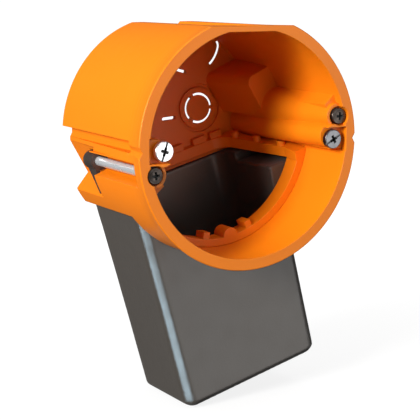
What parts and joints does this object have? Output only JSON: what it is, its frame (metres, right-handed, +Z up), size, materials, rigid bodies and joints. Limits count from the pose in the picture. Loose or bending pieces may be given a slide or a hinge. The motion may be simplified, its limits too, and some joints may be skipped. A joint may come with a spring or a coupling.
{
  "type": "cavity wall junction box",
  "caption": "Round cavity wall junction box with wall claws, device screws, knock-outs and a soft deep pouch clamped under its open lower side.",
  "frame": {"origin": "centre of the round mouth in the plane of the rim's front face", "axes": "+X right seen from the front, +Y into the wall, +Z up; the mouth faces -Y"},
  "size_m": [0.0798, 0.0563, 0.1235],
  "materials": {
    "body_plastic": "satin moulded plastic",
    "pouch_plastic": "satin soft moulding",
    "plated_steel": "bright plating",
    "claw_screw_steel": "bright shank",
    "claw_metal": "dark stamped metal"
  },
  "bodies": {
    "box": {"housing": "body_plastic", "pouch_frame": "body_plastic", "pouch": "pouch_plastic"},
    "device_screw_left": {"device_screw_left": "plated_steel"},
    "device_screw_right": {"device_screw_right": "plated_steel"},
    "claw_screw_left": {"claw_screw_left": "claw_screw_steel"},
    "claw_screw_right": {"claw_screw_right": "claw_screw_steel"},
    "claw_left": {"claw_left": "claw_metal"},
    "claw_right": {"claw_right": "claw_metal"}
  },
  "joints": [
    {"name": "claw_left_swing", "type": "hinge", "parent": "box", "child": "claw_left", "pos_m": [-0.0326, 0.04, -0.007], "axis": [0, 1, 0], "range_deg": [0, 95]},
    {"name": "claw_right_swing", "type": "hinge", "parent": "box", "child": "claw_right", "pos_m": [0.0326, 0.04, 0.007], "axis": [0, 1, 0], "range_deg": [0, 95]},
    {"name": "claw_screw_left_turn", "type": "hinge", "parent": "box", "child": "claw_screw_left", "pos_m": [-0.0326, 0.02, -0.007], "axis": [0, 1, 0], "continuous": true},
    {"name": "claw_screw_right_turn", "type": "hinge", "parent": "box", "child": "claw_screw_right", "pos_m": [0.0326, 0.02, 0.007], "axis": [0, 1, 0], "continuous": true},
    {"name": "device_screw_left_turn", "type": "hinge", "parent": "box", "child": "device_screw_left", "pos_m": [-0.03, 0.005, 0], "axis": [0, 1, 0], "continuous": true},
    {"name": "device_screw_right_turn", "type": "hinge", "parent": "box", "child": "device_screw_right", "pos_m": [0.03, 0.005, 0], "axis": [0, 1, 0], "continuous": true}
  ]
}
